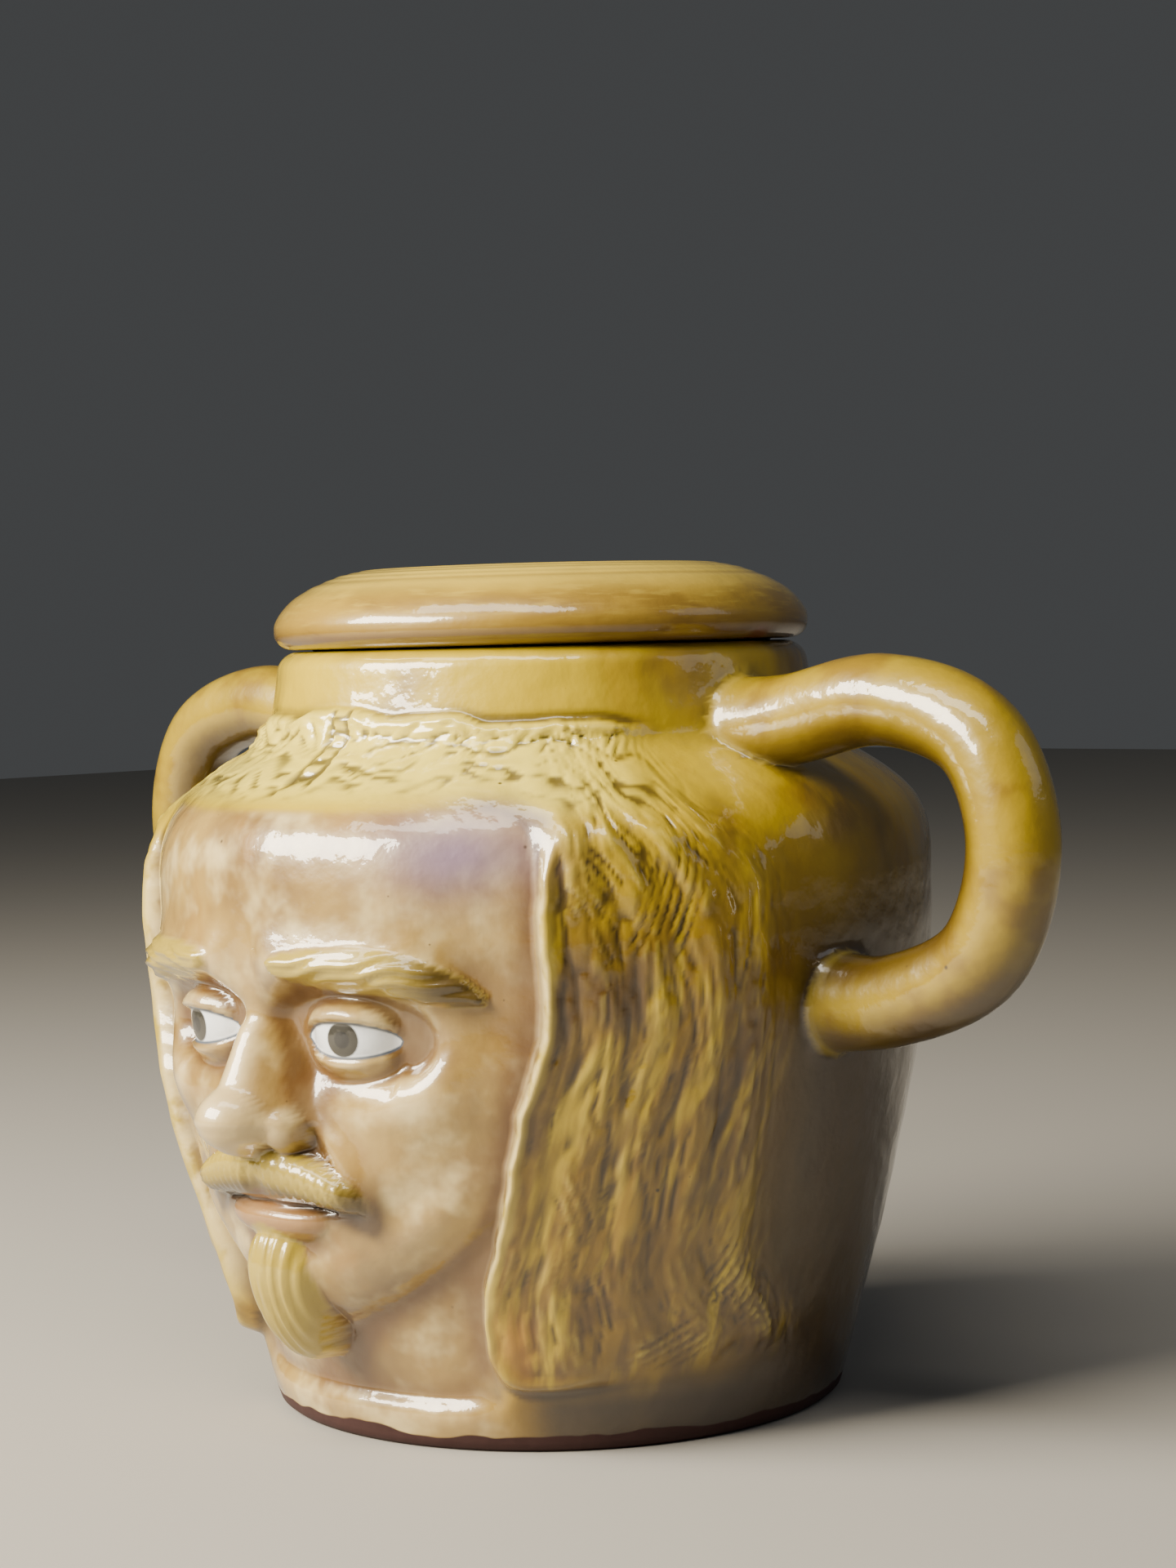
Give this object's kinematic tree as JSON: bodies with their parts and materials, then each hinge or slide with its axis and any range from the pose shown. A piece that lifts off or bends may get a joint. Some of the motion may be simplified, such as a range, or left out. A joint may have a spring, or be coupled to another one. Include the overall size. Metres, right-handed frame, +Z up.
{
  "type": "lidded face jug",
  "caption": "Round-bellied glazed earthenware jug with a carved face and long hair on its front, a coil handle at each side, and a low domed lid that lifts off.",
  "frame": {"origin": "centre of the flat foot on which the jug stands", "axes": "+Z up along the pot's axis, -Y out of the face, +X and -X out through the two handles"},
  "size_m": [0.274, 0.184, 0.1812],
  "materials": {
    "glazed_body": "glossy ochre-olive lead glaze over red earthenware, pale on edges and dark in grooves",
    "glazed_lid": "glossy honey-tan lead glaze over fine turning rings"
  },
  "bodies": {
    "root": {"jug": "glazed_body", "lid": "glazed_lid"}
  },
  "joints": []
}
